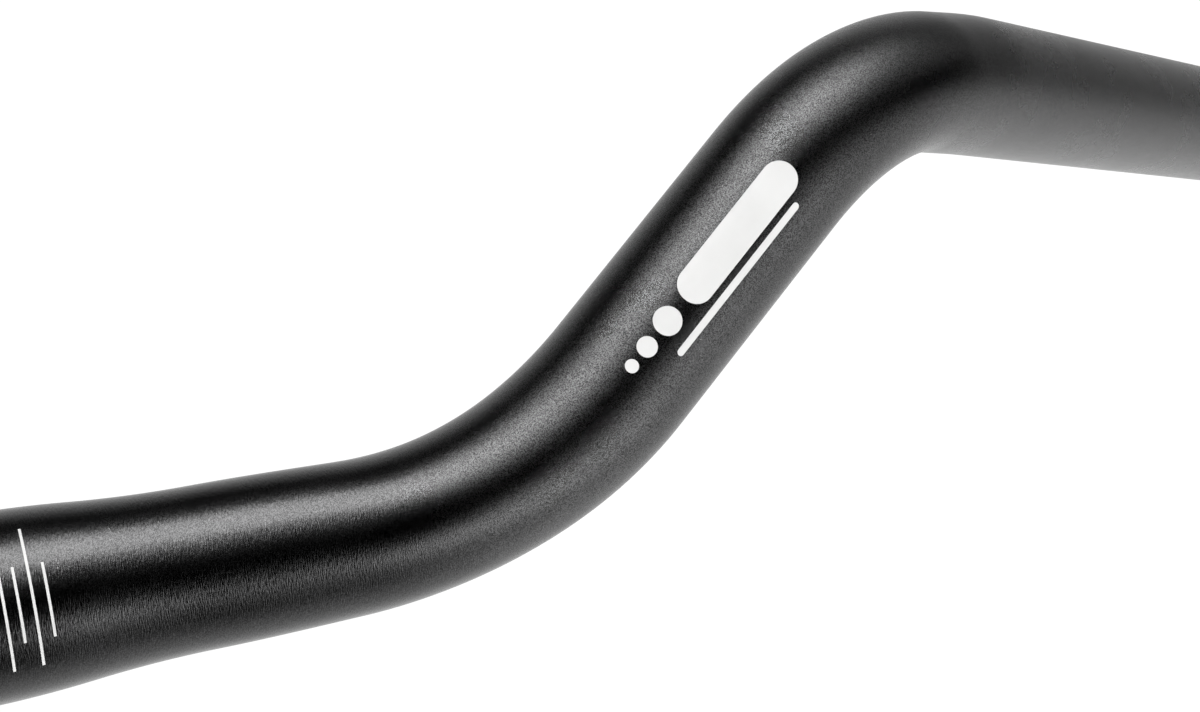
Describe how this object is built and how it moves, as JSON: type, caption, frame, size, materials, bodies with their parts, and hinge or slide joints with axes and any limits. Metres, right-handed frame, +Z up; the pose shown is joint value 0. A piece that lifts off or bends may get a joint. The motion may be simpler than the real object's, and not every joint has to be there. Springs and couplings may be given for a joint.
{
  "type": "trekking handlebar",
  "caption": "Riser trekking handlebar: one bent hollow tube with a bulged stem clamp, raised arms and grip ends swept back.",
  "frame": {"origin": "middle of the stem clamp, on the tube's axis", "axes": "+X along the clamp to the rider's right hand, +Y back towards the rider, +Z up along the rise"},
  "size_m": [0.6598, 0.167, 0.0758],
  "materials": {
    "black_anodised": "blasted, satin black anodised",
    "white_ink": "printed marks, satin white"
  },
  "bodies": {
    "root": {"handlebar": "black_anodised"}
  },
  "joints": []
}
